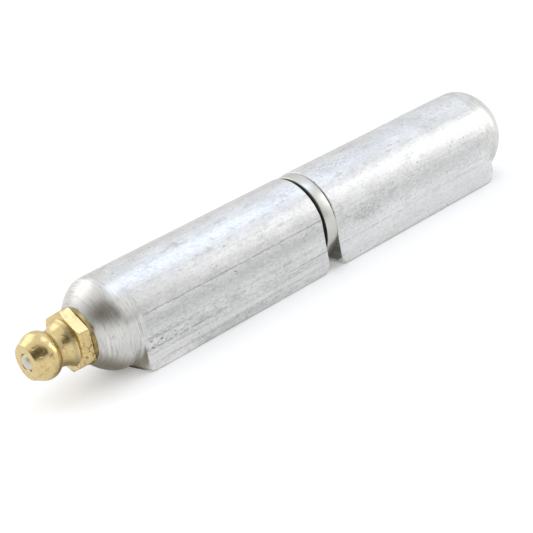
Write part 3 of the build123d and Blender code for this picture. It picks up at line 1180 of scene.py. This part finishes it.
def grow(tree, sizes, name):
    """Runs a tree with these sizes, and returns the result as a plain object."""
    seed = put_in_scene("seed", bpy.data.meshes.new("seed"))
    modifier = seed.modifiers.new(name, "NODES")
    modifier.node_group = tree
    sockets = {s.name: s.identifier for s in tree.interface.items_tree if s.in_out == "INPUT"}
    for label, value in sizes.items():
        modifier[sockets[label]] = float(value)
    depsgraph = bpy.context.evaluated_depsgraph_get()
    mesh = bpy.data.meshes.new_from_object(seed.evaluated_get(depsgraph))
    mesh.name = name
    bpy.data.objects.remove(seed)
    return close_up(mesh)


# %% Washer
WASHER_BORE_RADIUS = 3.6 * MM
WASHER_EDGE_ROUND = 0.16 * MM
RING_SIDES = 256

washer_sizes = {
    "Outer Radius": washer_box[1].z - axis_z,
    "Bore Radius": WASHER_BORE_RADIUS,
    "Thickness": washer_box[1].x - washer_box[0].x,
    "Edge Round": WASHER_EDGE_ROUND,
}
tree, size = new_tree("washer", washer_sizes)
wall = weighed(tree, size["Outer Radius"], (size["Bore Radius"], -1.0))
middle = weighed(tree, size["Bore Radius"], (wall, 0.5))
section = add_node(
    tree, "GeometryNodeCurvePrimitiveQuadrilateral", {"Width": wall, "Height": size["Thickness"]}
)
rounded = add_node(
    tree,
    "GeometryNodeFilletCurve",
    {"Curve": section.outputs[0], "Radius": size["Edge Round"], "Count": 4},
    mode="POLY",
)
ring = add_node(tree, "GeometryNodeCurvePrimitiveCircle", {"Resolution": RING_SIDES, "Radius": middle})
swept = add_node(
    tree,
    "GeometryNodeCurveToMesh",
    {"Curve": ring.outputs[0], "Profile Curve": rounded.outputs[0]},
)
end_tree(tree, swept.outputs[0], (washer_box[0].x + washer_box[1].x) / 2, satin_stainless)
washer = grow(tree, washer_sizes, "thrust_washer_ring")

# %% [markdown]
# ## The check spring
#
# Inside the fitting a small spring holds the ball on its seat. It is a helix, so Geometry Nodes draw
# it: a spiral with the same radius at both ends, a round wire swept along it, turned so that it lies
# along the pin axis. It shortens as the ball is pushed in, so it is given a mesh of its own.

# %% Check spring
SPRING_TURNS = 6
SPRING_RADIUS = 1.125 * MM
WIRE_RADIUS = 0.16 * MM
STEPS_PER_TURN = 24
WIRE_SIDES = 8

spring_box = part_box("check_spring")
spring_length = spring_box[1].x - spring_box[0].x
coil_sizes = {
    "Turns": SPRING_TURNS,
    "Coil Radius": SPRING_RADIUS,
    "Wire Radius": WIRE_RADIUS,
    "Length": spring_length - 2 * WIRE_RADIUS,
}
tree, size = new_tree("coil", coil_sizes)
spiral = add_node(
    tree,
    "GeometryNodeCurveSpiral",
    {
        "Resolution": STEPS_PER_TURN,
        "Rotations": size["Turns"],
        "Start Radius": size["Coil Radius"],
        "End Radius": size["Coil Radius"],
        "Height": size["Length"],
    },
)
wire = add_node(
    tree,
    "GeometryNodeCurvePrimitiveCircle",
    {"Resolution": WIRE_SIDES, "Radius": size["Wire Radius"]},
)
swept = add_node(
    tree,
    "GeometryNodeCurveToMesh",
    {"Curve": spiral.outputs[0], "Profile Curve": wire.outputs[0], "Fill Caps": True},
)
end_tree(tree, swept.outputs[0], spring_box[0].x + WIRE_RADIUS, spring_wire)
coil = grow(tree, coil_sizes, "check_spring_coil")

# %% [markdown]
# ## Fit the pieces to the frame
#
# Each piece rides on the body that carries it and stands for its engineering node, which stays in
# the simulation for contact.

# %% Ride and replace
dressed_pieces = (
    # piece, body that carries it, engineering node that it stands for, material slot
    (pin_skin, "pin_half", "pin_half", "extruded_aluminium"),
    (free_skin, "free_half", "free_half", "extruded_aluminium"),
    (fitting, "free_half", "fitting_body", "fitting_brass"),
    (washer, "washer", "thrust_washer", "washer_steel"),
    (coil, "free_half", "check_spring", "spring_steel"),
)
for piece, body, node, finish_slot in dressed_pieces:
    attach(piece, body)
    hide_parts(node)
print("dressed", [piece.name for piece, *_ in dressed_pieces])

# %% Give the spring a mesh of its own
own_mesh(coil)
